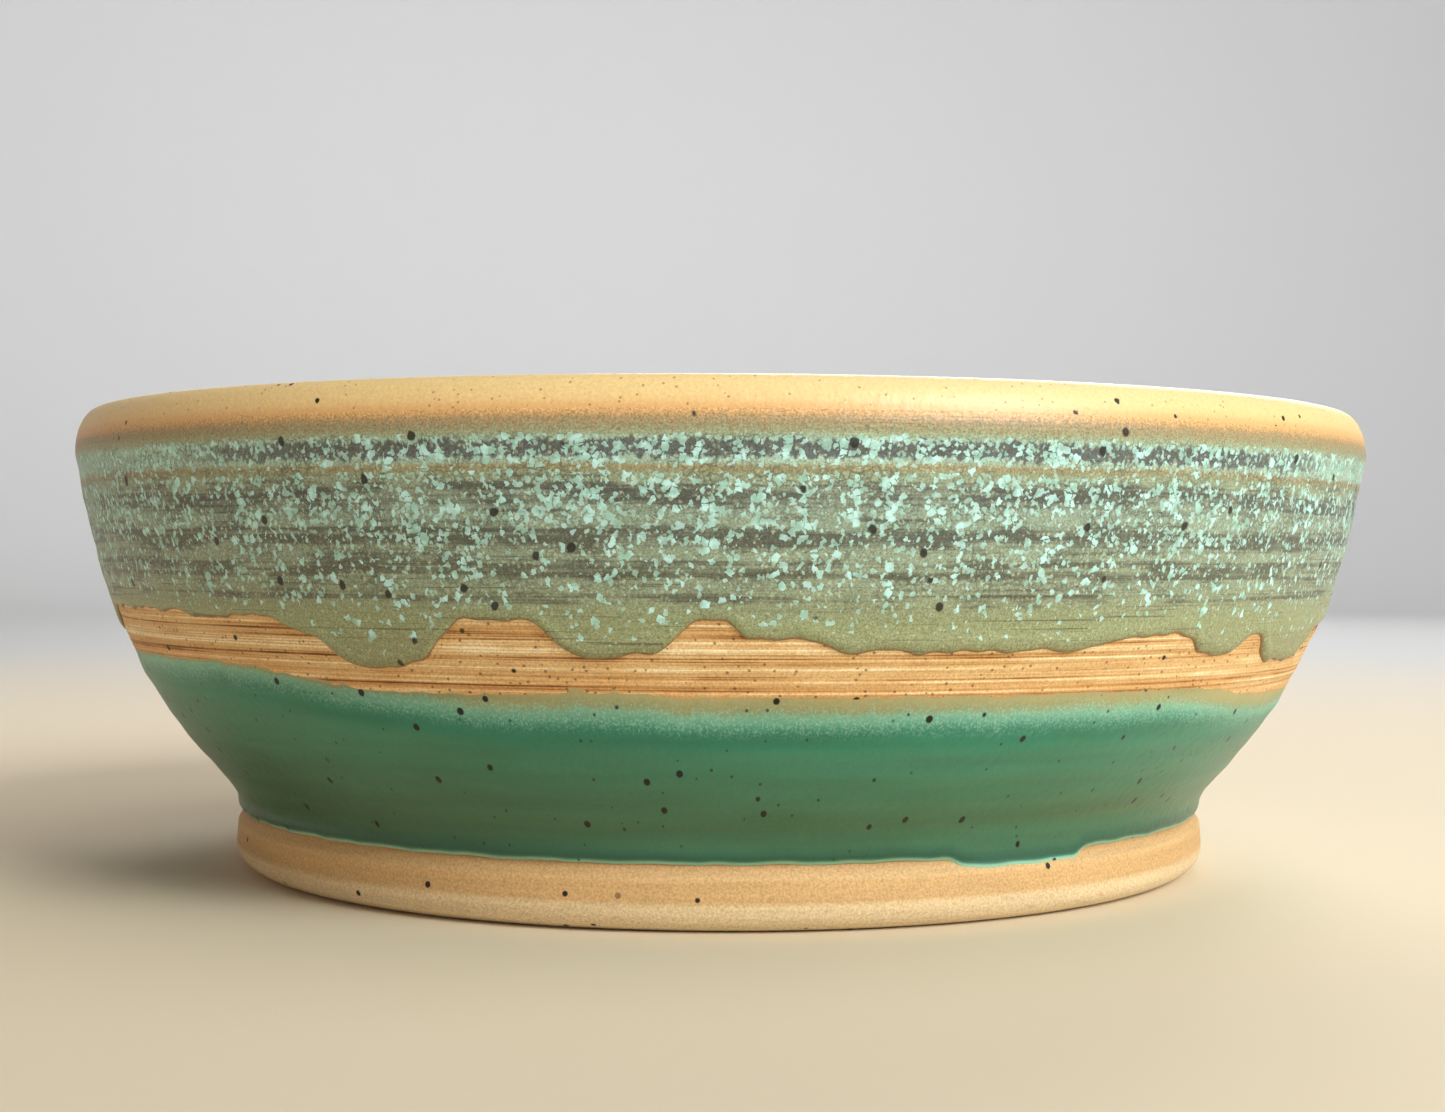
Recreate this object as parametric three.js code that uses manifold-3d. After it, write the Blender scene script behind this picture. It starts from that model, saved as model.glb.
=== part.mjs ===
// A wide, low yarn bowl: a wheel-thrown stoneware body with a hook-shaped yarn slot, and three glaze coats on it.
// Millimetres, +Z up. The origin is the centre of the foot, on the surface that the bowl stands on.
// The front of the bowl faces -Y and the yarn slot is in the back wall, at +Y.
import * as THREE from 'three';
import { mergeVertices } from 'three/addons/utils/BufferGeometryUtils.js';
import Module from 'manifold-3d';

const wasm = await Module();
wasm.setup();

// Wall, outside
const height = 69;
const shoulderRadius = 99.9; // widest clay radius, where the wall ends and the rim begins
const shoulderHeight = 63;
const wallLean = 0.19; // how far the wall leans out at the shoulder
const wallTuck = 1.17e-4; // how fast the wall tucks in below it
const neckRadius = 74.8; // waist between wall and foot
const neckBlend = 3;
// Heights of the rows of faces up the wall, closer together where it bends more
const wallRows = [7, 8, 9, 10.5, 12, 13.5, 15.5, 18.5, 22.5, 27, 32, 37.5, 43.5, 50, 56.5, shoulderHeight];

// Rim and inside
const rimRadius = 97; // circle that the top of the rim runs on
const rimThickness = 6;
const floorHeight = 11;

// Foot
const footRadius = 76.4;
const ledgeRadius = 76.2; // the ledge is the sloping top of the foot, below the neck
const ledgeBottom = 6.8;
const ledgeTop = 9;
const footRestOuter = 72.5; // the foot stands on a flat ring between these two radii
const footRestInner = 62;
const recessHeight = 4;

// Glaze coats
const coatThickness = 0.5;
const coatGap = 0.1; // hair gap that keeps each coat clear of the clay
const coatEdgeGap = 0.3; // gap between the two coats that meet under the rim
const rimLineHeight = 65.1; // outside of the rim, where the liner glaze stops and the upper glaze starts
const dripLineHeight = 40.5;
const lowerGlazeTop = 31.5;
const lowerGlazeBottom = 9.1;

// Yarn slot, a hook of two arcs: a long stem that drops from the rim, and a tight turn that holds the yarn
const slotWidth = 6.5;
const hookRadius = 7;
const hookCentre = new THREE.Vector2(4, 54);
const stemRadius = 45;
const stemTilt = THREE.MathUtils.degToRad(15);
const hookEndAngle = THREE.MathUtils.degToRad(20);

const bodySegments = 60;
const dripSegments = 180; // a multiple of bodySegments, so that the coat nests on the clay's facets

// Where the edges of the coats run up or down: from and to are azimuths from the front in degrees towards +X,
// softness is how many degrees the edge takes to turn, and drop is in millimetres. A negative drop is a rise.
const upperDrips = [
  { from: -48.5, to: -42, softness: 1.5, drop: 0.8 },
  { from: -36.5, to: -21, softness: 2.5, drop: 2 },
  { from: -31.8, to: -21.9, softness: 1.6, drop: 4.4 },
  { from: -12.5, to: -3.4, softness: 1.2, drop: 4.5 },
  { from: 1.2, to: 72, softness: 0.8, drop: 2.2 },
  { from: 7.7, to: 31.5, softness: 1.8, drop: 1.7 },
  { from: 41.3, to: 48.2, softness: 1.2, drop: 3 },
  { from: 52.3, to: 64, softness: 1.5, drop: 4.5 },
  { from: 84, to: 93, softness: 1.6, drop: 4.8 },
  { from: 99, to: 118, softness: 2.2, drop: 2.4 },
  { from: 104, to: 110, softness: 1.3, drop: 3 },
  { from: 128, to: 136, softness: 1.5, drop: 5 },
  { from: 150, to: 171, softness: 2, drop: 2.6 },
  { from: 154, to: 160, softness: 1.3, drop: 2.8 },
  { from: 184, to: 204, softness: 1.4, drop: 3.6 },
  { from: 214, to: 221, softness: 1.3, drop: 5.2 },
  { from: 232, to: 262, softness: 1, drop: 2 },
  { from: 238, to: 247, softness: 1.6, drop: 3.2 },
  { from: 256, to: 261, softness: 1.3, drop: 2.6 },
  { from: 276, to: 288, softness: 2, drop: 4.2 },
];
const lowerGlazeRises = [
  { from: -100, to: -36.5, softness: 6, drop: -2.8 },
  { from: -16, to: -4, softness: 2, drop: -0.5 },
  { from: 50, to: 120, softness: 6, drop: 2.2 },
  { from: 190, to: 230, softness: 8, drop: 1 },
];
const footDrips = [{ from: 24, to: 40, softness: 0.8, drop: 1.3 }, { from: 191, to: 209, softness: 1.5, drop: 1.2 }];

// Sum of the flat-bottomed lobes at one azimuth, in millimetres.
function lobes(list, azimuth) {
  let total = 0;
  for (const { from, to, softness, drop } of list) {
    const away = THREE.MathUtils.euclideanModulo(azimuth - (from + to) / 2 + 180, 360) - 180;
    const half = (to - from) / 2;
    total += (drop / 2) * (Math.tanh((away + half) / softness) - Math.tanh((away - half) / softness));
  }
  return total;
}

// Outer radius of the clay below the shoulder: a lean and a cubic tuck, blended into the neck and then into the
// foot's ledge.
function wallRadius(z) {
  const down = shoulderHeight - z;
  const flare = shoulderRadius - wallLean * down - wallTuck * down ** 3;
  const wall = (neckRadius + flare + Math.hypot(flare - neckRadius, neckBlend)) / 2;
  return THREE.MathUtils.lerp(ledgeRadius, wall, THREE.MathUtils.smoothstep(z, ledgeBottom, ledgeTop));
}

// Outer radius of the clay at any height, with a quarter ellipse over the rim.
function clayRadius(z) {
  if (z <= shoulderHeight) {
    return wallRadius(z);
  }
  const up = Math.min((z - shoulderHeight) / (height - shoulderHeight), 1);
  return rimRadius + (wallRadius(shoulderHeight) - rimRadius) * Math.sqrt(1 - up * up);
}

// Point of the outside wall at height z, moved off the clay along its normal.
function wallPoint(z, offset) {
  const step = 0.01;
  const slope = (clayRadius(z + step) - clayRadius(z - step)) / (2 * step);
  const normal = new THREE.Vector2(1, -slope).normalize();
  return new THREE.Vector2(clayRadius(z), z).addScaledVector(normal, offset);
}

// Inside of the bowl from the top of the rim down to the middle of the floor.
function insideProfile() {
  const innerShoulder = new THREE.Vector2(shoulderRadius - rimThickness, shoulderHeight);
  const wallFoot = new THREE.Vector2(70.3, 16.5);
  const floorStart = new THREE.Vector2(40, floorHeight + 0.3);
  const rimHalf = new THREE.EllipseCurve(
    rimRadius, shoulderHeight, rimRadius - innerShoulder.x, height - shoulderHeight, Math.PI / 2, Math.PI,
  );
  const wall = new THREE.CubicBezierCurve(
    innerShoulder, new THREE.Vector2(90.9, 47), new THREE.Vector2(84.1, 28.5), wallFoot,
  );
  const corner = new THREE.QuadraticBezierCurve(
    wallFoot, new THREE.Vector2(64.9, floorHeight + 0.8), floorStart,
  );
  return [
    ...rimHalf.getPoints(3),
    ...wall.getPoints(8).slice(1),
    ...corner.getPoints(4).slice(1),
    new THREE.Vector2(0, floorHeight),
  ];
}

// Outside of the rim, from the shoulder or a line above it to just short of the top.
function rimOutside(fromHeight) {
  const steps = 3;
  const points = [];
  for (let i = 0; i < steps; i += 1) {
    const z = THREE.MathUtils.lerp(fromHeight, height, Math.sin((i / steps) * (Math.PI / 2)));
    points.push(new THREE.Vector2(clayRadius(z), z));
  }
  return points;
}

// Underside, foot ring and outside wall, from the axis up to the shoulder.
function outsideProfile() {
  const recess = new THREE.QuadraticBezierCurve(
    new THREE.Vector2(footRestInner - 4, recessHeight),
    new THREE.Vector2(footRestInner - 0.5, recessHeight),
    new THREE.Vector2(footRestInner, 0),
  );
  const bevel = new THREE.QuadraticBezierCurve(
    new THREE.Vector2(footRestOuter, 0),
    new THREE.Vector2(footRadius, 0.6),
    new THREE.Vector2(footRadius, 3.6),
  );
  const points = [
    new THREE.Vector2(0, recessHeight),
    ...recess.getPoints(2),
    ...bevel.getPoints(3),
  ];
  for (const z of wallRows) {
    points.push(new THREE.Vector2(clayRadius(z), z));
  }
  return points;
}

// Closed, position-only geometry standing on +Z, from a lathe that spins about +Y.
function standUp(lathe) {
  lathe.rotateX(Math.PI / 2);
  lathe.deleteAttribute('normal');
  lathe.deleteAttribute('uv');
  return mergeVertices(lathe, 1e-4);
}

function clayGeometry() {
  const profile = [...outsideProfile(), ...rimOutside(shoulderHeight).slice(1), ...insideProfile()];
  return standUp(new THREE.LatheGeometry(profile, bodySegments));
}

// Moves each point of a profile along the normal of the line through its neighbours.
function offsetProfile(points, distance) {
  return points.map((point, i) => {
    const before = points[Math.max(i - 1, 0)];
    const after = points[Math.min(i + 1, points.length - 1)];
    const along = after.clone().sub(before).normalize();
    const moved = point.clone().add(new THREE.Vector2(along.y, -along.x).multiplyScalar(distance));
    return point.x === 0 ? moved.setX(0) : moved;
  });
}

// The liner covers the whole inside and laps over the rim to the rim line.
function linerGeometry() {
  const path = [...rimOutside(rimLineHeight + coatEdgeGap), ...insideProfile()];
  const clayFace = offsetProfile(path, coatGap);
  const openFace = offsetProfile(path, coatGap + coatThickness);
  return standUp(new THREE.LatheGeometry([...clayFace.reverse(), ...openFace], bodySegments));
}

// Height of each row of a wall coat at an azimuth: the wall's own rows between its two edges, the edges, and
// one row half way to each edge.
function coatRows(bottomEdge, topEdge, lowest, highest) {
  const shared = wallRows.filter((z) => z > lowest && z < highest);
  const middle = (edge, z) => (azimuth) => (edge(azimuth) + z) / 2;
  return [
    bottomEdge,
    middle(bottomEdge, shared[0]),
    ...shared.map((z) => () => z),
    middle(topEdge, shared.at(-1)),
    topEdge,
  ];
}

// A coat on the outside wall between its rows. It is made as a thin tube whose radius holds the offset from the
// clay and whose height holds the row, then each of its points is put on the wall.
function wallCoatGeometry(rows, segments) {
  const last = rows.length - 1;
  const outline = [];
  for (let row = 0; row <= last; row += 1) {
    outline.push(new THREE.Vector2(1 + coatGap + coatThickness, row));
  }
  for (let row = last; row >= 0; row -= 1) {
    outline.push(new THREE.Vector2(1 + coatGap, row));
  }
  outline.push(outline[0].clone());
  const geometry = standUp(new THREE.LatheGeometry(outline, segments));
  const position = geometry.getAttribute('position');
  for (let i = 0; i < position.count; i += 1) {
    const angle = Math.atan2(position.getX(i), -position.getY(i));
    const offset = Math.hypot(position.getX(i), position.getY(i)) - 1;
    const azimuth = THREE.MathUtils.radToDeg(angle);
    const row = rows[Math.round(position.getZ(i))];
    const point = wallPoint(row(azimuth), offset);
    position.setXYZ(i, point.x * Math.sin(angle), -point.x * Math.cos(angle), point.y);
  }
  return geometry;
}

// Outline of the slot in the XZ plane, open past the rim, and the block that cuts it through the back wall.
function slotCutter() {
  const half = slotWidth / 2;
  const joinAngle = Math.PI + stemTilt;
  const stemTop = Math.PI - stemTilt;
  const stemCentre = new THREE.Vector2(Math.cos(joinAngle), Math.sin(joinAngle))
    .multiplyScalar(hookRadius - stemRadius)
    .add(hookCentre);
  const end = new THREE.Vector2(Math.cos(hookEndAngle), Math.sin(hookEndAngle))
    .multiplyScalar(hookRadius)
    .add(hookCentre);
  const outline = new THREE.Shape();
  outline.absarc(stemCentre.x, stemCentre.y, stemRadius + half, stemTop, joinAngle, false);
  outline.absarc(hookCentre.x, hookCentre.y, hookRadius + half, joinAngle, 2 * Math.PI + hookEndAngle, false);
  outline.absarc(end.x, end.y, half, hookEndAngle, hookEndAngle + Math.PI, false);
  outline.absarc(hookCentre.x, hookCentre.y, hookRadius - half, 2 * Math.PI + hookEndAngle, joinAngle, true);
  outline.absarc(stemCentre.x, stemCentre.y, stemRadius - half, joinAngle, stemTop, true);
  const cutter = new THREE.ExtrudeGeometry(outline, { depth: 50, bevelEnabled: false, curveSegments: 8 });
  cutter.rotateX(Math.PI / 2);
  cutter.translate(0, 120, 0);
  cutter.deleteAttribute('normal');
  cutter.deleteAttribute('uv');
  return mergeVertices(cutter, 1e-4);
}

function toManifold(geometry) {
  const vertProperties = Float32Array.from(geometry.getAttribute('position').array);
  const triVerts = Uint32Array.from(geometry.getIndex().array);
  return new wasm.Manifold(new wasm.Mesh({ numProp: 3, vertProperties, triVerts }));
}

function cutBy(geometry, cutter) {
  const mesh = toManifold(geometry).subtract(toManifold(cutter)).getMesh();
  const result = new THREE.BufferGeometry();
  result.setAttribute('position', new THREE.BufferAttribute(mesh.vertProperties, 3));
  result.setIndex(new THREE.BufferAttribute(mesh.triVerts, 1));
  return result;
}

function piece(name, geometry, color, roughness) {
  geometry.computeVertexNormals();
  const mesh = new THREE.Mesh(geometry, new THREE.MeshStandardMaterial({ color, roughness, metalness: 0 }));
  mesh.name = name;
  return mesh;
}

const rimLine = () => rimLineHeight;
const dripLine = (azimuth) => dripLineHeight - lobes(upperDrips, azimuth);
const lowerTopLine = (azimuth) => lowerGlazeTop - lobes(lowerGlazeRises, azimuth);
const footLine = (azimuth) => lowerGlazeBottom - lobes(footDrips, azimuth);
const upperRows = coatRows(dripLine, rimLine, dripLineHeight, rimLineHeight);
const lowerRows = coatRows(footLine, lowerTopLine, lowerGlazeBottom, lowerGlazeTop);

const slot = slotCutter();
const bowl = new THREE.Group();
bowl.add(piece('bowl_body', cutBy(clayGeometry(), slot), '#c8935f', 0.8));
bowl.add(piece('liner_glaze', cutBy(linerGeometry(), slot), '#e6c083', 0.45));
bowl.add(piece('upper_glaze', cutBy(wallCoatGeometry(upperRows, dripSegments), slot), '#8d9a78', 0.55));
bowl.add(piece('lower_glaze', wallCoatGeometry(lowerRows, bodySegments), '#3f7a5c', 0.35));

export default bowl;
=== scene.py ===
# Yarn bowl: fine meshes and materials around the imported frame. Metres in Blender, millimetres in this script.
import math

import bpy
import numpy as np
from mathutils import Matrix, Vector


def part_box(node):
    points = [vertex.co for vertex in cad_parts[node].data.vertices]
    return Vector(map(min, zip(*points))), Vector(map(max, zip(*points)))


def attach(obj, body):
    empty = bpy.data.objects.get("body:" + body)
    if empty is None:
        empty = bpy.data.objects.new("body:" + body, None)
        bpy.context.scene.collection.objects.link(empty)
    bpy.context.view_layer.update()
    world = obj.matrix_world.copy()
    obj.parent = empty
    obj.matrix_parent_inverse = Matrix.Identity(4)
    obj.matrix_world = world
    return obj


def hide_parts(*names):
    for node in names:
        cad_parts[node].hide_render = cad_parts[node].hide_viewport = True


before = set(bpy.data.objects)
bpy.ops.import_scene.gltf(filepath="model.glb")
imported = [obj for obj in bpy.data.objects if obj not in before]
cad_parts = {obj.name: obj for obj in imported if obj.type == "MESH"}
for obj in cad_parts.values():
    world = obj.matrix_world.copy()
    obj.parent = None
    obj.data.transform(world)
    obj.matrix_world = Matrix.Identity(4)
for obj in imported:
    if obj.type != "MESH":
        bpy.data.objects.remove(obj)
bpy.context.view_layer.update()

MM = 0.001
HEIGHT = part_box("bowl_body")[1][2] / MM

# Clay wall, as in the frame
SHOULDER_RADIUS = 99.9
SHOULDER_HEIGHT = 63
WALL_LEAN = 0.19
WALL_TUCK = 1.17e-4
NECK_RADIUS = 74.8
NECK_BLEND = 3
RIM_RADIUS = 97
RIM_THICKNESS = 6
FLOOR_HEIGHT = 11
FOOT_RADIUS = 76.4
LEDGE_RADIUS = 76.2
LEDGE_BOTTOM = 6.8
LEDGE_TOP = 9
FOOT_REST_OUTER = 72.5
FOOT_REST_INNER = 62
RECESS_HEIGHT = 4

# Edge lines of the glaze coats
RIM_LINE = 65.1
DRIP_LINE = 40.5
LOWER_TOP = 31.5
LOWER_BOTTOM = 8.9
# Lobes of the edge lines: from and to, in degrees from the front towards +X, softness in degrees, drop in mm
UPPER_DRIPS = [
    (-48.5, -42, 1.5, 0.8), (-36.5, -21, 2.5, 2), (-31.8, -21.9, 1.6, 4.4), (-12.5, -3.4, 1.2, 4.5),
    (1.2, 72, 0.8, 2.2), (7.7, 31.5, 1.8, 1.7), (41.3, 48.2, 1.2, 3), (52.3, 64, 1.5, 4.5),
    (84, 93, 1.6, 4.8), (99, 118, 2.2, 2.4), (104, 110, 1.3, 3), (128, 136, 1.5, 5),
    (150, 171, 2, 2.6), (154, 160, 1.3, 2.8), (184, 204, 1.4, 3.6), (214, 221, 1.3, 5.2),
    (232, 262, 1, 2), (238, 247, 1.6, 3.2), (256, 261, 1.3, 2.6), (276, 288, 2, 4.2),
]
LOWER_RISES = [(-100, -36.5, 6, -2.8), (-16, -4, 2, -0.5), (50, 120, 6, 2.2), (190, 230, 8, 1)]
FOOT_DRIPS = [(24, 40, 0.8, 1.3), (191, 209, 1.5, 1.2)]
# Where the lower glaze's khaki top edge runs thin, in the same form
KHAKI_THIN = [(-120, -22, 5, 1.8), (70, 100, 8, 1.2), (170, 200, 8, 1.5)]
# Where the upper glaze shows its charcoal stripe, in the same form
DARK_STRIPE = [(-41, 53, 5, 1), (118, 246, 8, 1)]

# Coats
COAT = 0.35  # glaze surface above the clay
COAT_BEAD = 0.22  # extra thickness of the roll along a dripped edge
UNDERLAP = 0.25  # how far the clay is drawn back under a coat
COAT_SHELL = 0.3  # thickness of a coat's solid

# Yarn slot
SLOT_WIDTH = 6
SLOT_CLAY_WIDTH = 6.8
HOOK_RADIUS = 7
HOOK_CENTRE = np.array([4.0, 54.0])
STEM_RADIUS = 45
STEM_TILT = math.radians(15)
HOOK_END = math.radians(20)
SLOT_FILLET = 1.7
MOUTH_ROUND = 4
MOUTH_FROM = 56  # height above which the slot's mouth rounds down
FAR_FROM_SLOT = 99.0
FLOOR_WALL = 9.0  # wall thickness taken below the slot

# Mesh density
COLUMN_STEP = math.radians(0.5)
SLOT_COLUMN_STEP = math.radians(0.22)
SLOT_REACH = math.radians(14)  # columns this near the back run straight up, so that the slot cuts squarely
SLOT_BLEND = math.radians(27)
PATCH_RADIUS = 96
PATCH_BOTTOM = 41.5
SLOT_ROWS = 9  # faces across the wall inside the slot


def smooth(x):
    x = np.clip(x, 0, 1)
    return x * x * (3 - 2 * x)


def lobes(listed, azimuth):
    total = np.zeros_like(azimuth)
    for start, end, softness, drop in listed:
        away = (np.degrees(azimuth) - (start + end) / 2 + 180) % 360 - 180
        half = (end - start) / 2
        total += drop / 2 * (np.tanh((away + half) / softness) - np.tanh((away - half) / softness))
    return total


def wander(azimuth, size, seed):
    """Small smooth unevenness of a line around the bowl."""
    rng = np.random.default_rng(seed)
    total = np.zeros_like(azimuth)
    for waves in rng.integers(20, 170, 16):
        total += rng.normal() * np.sin(waves * azimuth + rng.uniform(0, 2 * math.pi)) / waves**0.5
    return size * total


def wall_radius(z):
    down = SHOULDER_HEIGHT - z
    flare = SHOULDER_RADIUS - WALL_LEAN * down - WALL_TUCK * down**3
    wall = (NECK_RADIUS + flare + np.hypot(flare - NECK_RADIUS, NECK_BLEND)) / 2
    share = smooth((z - LEDGE_BOTTOM) / (LEDGE_TOP - LEDGE_BOTTOM))
    return LEDGE_RADIUS + (wall - LEDGE_RADIUS) * share


def clay_radius(z):
    up = np.clip((z - SHOULDER_HEIGHT) / (HEIGHT - SHOULDER_HEIGHT), 0, 1)
    widest = wall_radius(np.float64(SHOULDER_HEIGHT))
    rim = RIM_RADIUS + (widest - RIM_RADIUS) * np.sqrt(1 - up * up)
    return np.where(z > SHOULDER_HEIGHT, rim, wall_radius(np.minimum(z, SHOULDER_HEIGHT)))


def bezier(points, steps):
    t = np.linspace(0, 1, steps)[:, None]
    points = [np.array(p, float) for p in points]
    while len(points) > 1:
        points = [a + (b - a) * t for a, b in zip(points, points[1:])]
    return points[0]


def inside_table():
    """Radius, height and normal along the inside, from the top of the rim to the middle of the floor."""
    inner = SHOULDER_RADIUS - RIM_THICKNESS
    turn = np.linspace(0, math.pi / 2, 60)
    rim = np.stack([
        RIM_RADIUS - (RIM_RADIUS - inner) * np.sin(turn),
        SHOULDER_HEIGHT + (HEIGHT - SHOULDER_HEIGHT) * np.cos(turn),
    ], 1)
    wall = bezier([(inner, SHOULDER_HEIGHT), (90.9, 47), (84.1, 28.5), (70.3, 16.5)], 200)
    corner = bezier([(70.3, 16.5), (64.9, FLOOR_HEIGHT + 0.8), (40, FLOOR_HEIGHT + 0.3)], 80)
    middle = bezier([(40, FLOOR_HEIGHT + 0.3), (0, FLOOR_HEIGHT)], 60)
    line = np.concatenate([rim, wall[1:], corner[1:], middle[1:]])
    along = np.gradient(line, axis=0)
    along /= np.linalg.norm(along, axis=1)[:, None]
    lengths = np.linalg.norm(np.diff(line, axis=0), axis=1)
    run = np.concatenate([[0], np.cumsum(lengths)])
    return {"run": run, "r": line[:, 0], "z": line[:, 1], "nr": along[:, 1], "nz": -along[:, 0]}


INSIDE = inside_table()


def inside_run(z):
    """Distance along the inside at which it reaches height z."""
    return np.interp(-z, -INSIDE["z"], INSIDE["run"])


def slot_distance(x, z, half_width):
    """Signed distance from the slot's edge, seen from the front: negative inside the slot."""
    join = math.pi + STEM_TILT
    join_way = np.array([math.cos(join), math.sin(join)])
    stem_centre = HOOK_CENTRE + join_way * (HOOK_RADIUS - STEM_RADIUS)
    end = HOOK_CENTRE + np.array([math.cos(HOOK_END), math.sin(HOOK_END)]) * HOOK_RADIUS
    stem = np.abs(np.hypot(x - stem_centre[0], z - stem_centre[1]) - STEM_RADIUS)
    above_join = (x - HOOK_CENTRE[0]) * join_way[1] - (z - HOOK_CENTRE[1]) * join_way[0] > 0
    stem = np.where(above_join, stem, np.inf)
    turn = np.arctan2(z - HOOK_CENTRE[1], x - HOOK_CENTRE[0]) % (2 * math.pi)
    on_hook = (turn > join) | (turn < HOOK_END)
    hook = np.abs(np.hypot(x - HOOK_CENTRE[0], z - HOOK_CENTRE[1]) - HOOK_RADIUS)
    hook = np.where(on_hook, hook, np.inf)
    tip = np.hypot(x - end[0], z - end[1])
    return np.minimum(np.minimum(stem, hook), tip) - half_width


def make_columns():
    coarse = np.arange(-math.pi + SLOT_REACH, math.pi - SLOT_REACH, COLUMN_STEP)
    fine = np.arange(math.pi - SLOT_REACH, math.pi + SLOT_REACH, SLOT_COLUMN_STEP)
    return np.concatenate([coarse, fine])


AZIMUTH = make_columns()
OFF_BACK = (AZIMUTH + 2 * math.pi) % (2 * math.pi) - math.pi  # angle from the back, where the slot is


def outside_row(z, offset):
    z = np.broadcast_to(np.asarray(z, float), AZIMUTH.shape)
    offset = np.broadcast_to(np.asarray(offset, float), AZIMUTH.shape)
    return ("out", z.copy(), offset.copy())


def inside_row(run, offset):
    run = np.broadcast_to(np.asarray(run, float), AZIMUTH.shape)
    z = np.interp(run, INSIDE["run"], INSIDE["z"])
    offset = np.broadcast_to(np.asarray(offset, float), AZIMUTH.shape)
    return ("in", z.copy(), offset.copy(), run.copy())


def rings(run, azimuth, listed):
    """Shallow rings left by the fingers: (pitch mm, depth mm, phase, turns of spiral)."""
    total = 0
    for pitch, depth, phase, turns in listed:
        total = total + depth * np.sin(2 * math.pi * run / pitch + phase + turns * azimuth)
    return total


def groove_line(run, azimuth, pitch, depth, seed):
    """Uneven fine lines from trimming: a smooth random height every pitch, drifting around the bowl."""
    values = np.random.default_rng(seed).normal(0, 1, 4096)
    at = run / pitch + 0.35 * np.sin(azimuth + seed) + 0.2 * np.sin(3 * azimuth + 2 * seed) + 100
    low = np.floor(at).astype(int)
    share = smooth(at - low)
    return depth * (values[low] * (1 - share) + values[low + 1] * share)


OUTSIDE_RINGS = [(2.9, 0.02, 0.4, 1), (5.3, 0.04, 1.9, -1), (11.7, 0.06, 4.0, 1)]
INSIDE_RINGS = [(6.2, 0.16, 0.0, 1), (3.1, 0.03, 2.0, -2), (17, 0.2, 1.0, 1)]


def place(rows, slot_width, fillet):
    """Puts the rows of a surface in space and cuts the slot. Returns the vertices, which quads are kept, and
    how far each vertex is from the slot."""
    outside = np.array([row[0] == "out" for row in rows])
    z = np.array([row[1] for row in rows])
    offset = np.array([row[2] for row in rows])
    off_back = np.broadcast_to(OFF_BACK, z.shape).copy()
    run = np.array([row[3] if row[0] == "in" else inside_run(row[1]) for row in rows])

    x = -PATCH_RADIUS * np.sin(off_back)
    near = (np.abs(off_back) < SLOT_REACH) & (z > PATCH_BOTTOM)
    half = slot_width / 2
    gap = np.where(near, slot_distance(x, z, half), FAR_FROM_SLOT)
    snap = 0.13  # vertices this near the slot's edge, or inside it, move onto the edge
    keep = np.maximum.reduce([gap[:-1], gap[1:], np.roll(gap, -1, 1)[:-1], np.roll(gap, -1, 1)[1:]]) > snap
    step = 1e-3
    slope_x = (slot_distance(x + step, z, half) - slot_distance(x - step, z, half)) / (2 * step)
    slope_z = (slot_distance(x, z + step, half) - slot_distance(x, z - step, half)) / (2 * step)
    moved = near & (gap <= snap)
    x = np.where(moved, x - np.clip(gap, -1, 1) * slope_x, x)
    new_z = np.where(moved, z - np.clip(gap, -1, 1) * slope_z, z)
    new_z = np.where(z >= HEIGHT - 1e-6, z, np.minimum(new_z, HEIGHT))
    run = np.where(moved & ~outside[:, None], inside_run(new_z), run)
    z = new_z
    off_back = np.where(moved, -np.arcsin(x / PATCH_RADIUS), off_back)
    gap = np.where(moved, 0, gap)

    step = 0.02
    r_out = clay_radius(z)
    lean = (clay_radius(z + step) - clay_radius(z - step)) / (2 * step)
    at_top = z > HEIGHT - 0.05
    length = np.hypot(1, lean)
    nr_out = np.where(at_top, 0, 1 / length)
    nz_out = np.where(at_top, 1, -lean / length)
    inside = {key: np.interp(run, INSIDE["run"], INSIDE[key]) for key in ("r", "z", "nr", "nz")}
    side = outside[:, None]
    r = np.where(side, r_out, inside["r"])
    height = np.where(side, z, inside["z"])
    nr = np.where(side, nr_out, inside["nr"])
    nz = np.where(side, nz_out, inside["nz"])
    azimuth = np.broadcast_to(AZIMUTH, z.shape)
    ripple = np.where(
        side,
        rings(z, azimuth, OUTSIDE_RINGS) * smooth((SHOULDER_HEIGHT + 3 - z) / 6) * smooth((z - 8) / 3),
        rings(run, azimuth, INSIDE_RINGS) * smooth((run - 8) / 14) * smooth((INSIDE["run"][-1] - run) / 6),
    )
    r_in = np.interp(inside_run(z), INSIDE["run"], INSIDE["r"])
    thickness = np.where(z > PATCH_BOTTOM - 4, r_out - r_in, FLOOR_WALL)
    edge = np.clip(gap, 0, fillet)
    depth = fillet - np.sqrt(fillet**2 - (fillet - edge) ** 2)
    depth = np.minimum(depth, 0.46 * thickness * smooth((fillet - edge) / fillet + 0.5))
    total = offset + ripple
    radius = r + nr * total + np.where(side, -depth, depth)
    height = height + nz * total
    mouth = np.clip(gap, 0, MOUTH_ROUND)
    sink = MOUTH_ROUND - np.sqrt(MOUTH_ROUND**2 - (MOUTH_ROUND - mouth) ** 2)
    height = height - sink * smooth((z - MOUTH_FROM) / (HEIGHT - MOUTH_FROM))

    straight = smooth((SLOT_BLEND - np.abs(off_back)) / (SLOT_BLEND - SLOT_REACH)) * smooth((z - 26) / 12)
    square = -np.arcsin(np.clip(-PATCH_RADIUS * np.sin(off_back) / np.maximum(r, 60), -1, 1))
    angle = off_back * (1 - straight) + square * straight
    vertices = np.stack([-radius * np.sin(angle), radius * np.cos(angle), height], -1)
    return vertices.reshape(-1, 3), keep, np.minimum(gap, 9).ravel()


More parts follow.
